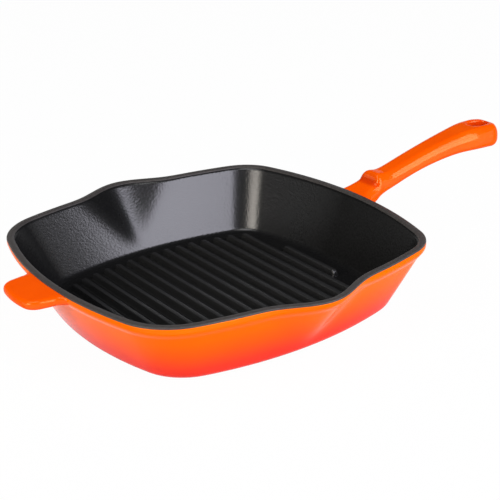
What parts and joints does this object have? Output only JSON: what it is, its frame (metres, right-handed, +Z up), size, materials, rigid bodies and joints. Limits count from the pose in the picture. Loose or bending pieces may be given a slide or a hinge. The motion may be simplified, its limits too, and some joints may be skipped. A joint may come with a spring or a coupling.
{
  "type": "square grill pan",
  "caption": "Square enamelled cast-iron grill pan with raised ribs, a pouring spout on each side, a long handle with a thumb stop and hanging hole, and a helper tab.",
  "frame": {"origin": "middle of the flat base, on the surface the pan stands on", "axes": "+X along the long handle, +Z up out of the bowl, pouring spouts at +Y and -Y, helper tab at -X"},
  "size_m": [0.4274, 0.286, 0.0804],
  "materials": {
    "cast_iron": "as cast, fully enamelled over",
    "graded_enamel": "gloss vitreous enamel, orange at the rim grading to red at the base",
    "orange_enamel": "gloss vitreous enamel",
    "black_enamel": "satin black vitreous enamel with a fine orange-peel texture"
  },
  "bodies": {
    "root": {"iron_bowl": "cast_iron", "iron_ribs": "cast_iron", "iron_handle": "cast_iron", "iron_helper_tab": "cast_iron", "outer_enamel": "graded_enamel", "base_enamel": "graded_enamel", "handle_enamel": "orange_enamel", "helper_tab_enamel": "orange_enamel", "rim_enamel": "black_enamel", "inner_enamel": "black_enamel", "rib_enamel": "black_enamel"}
  },
  "joints": []
}
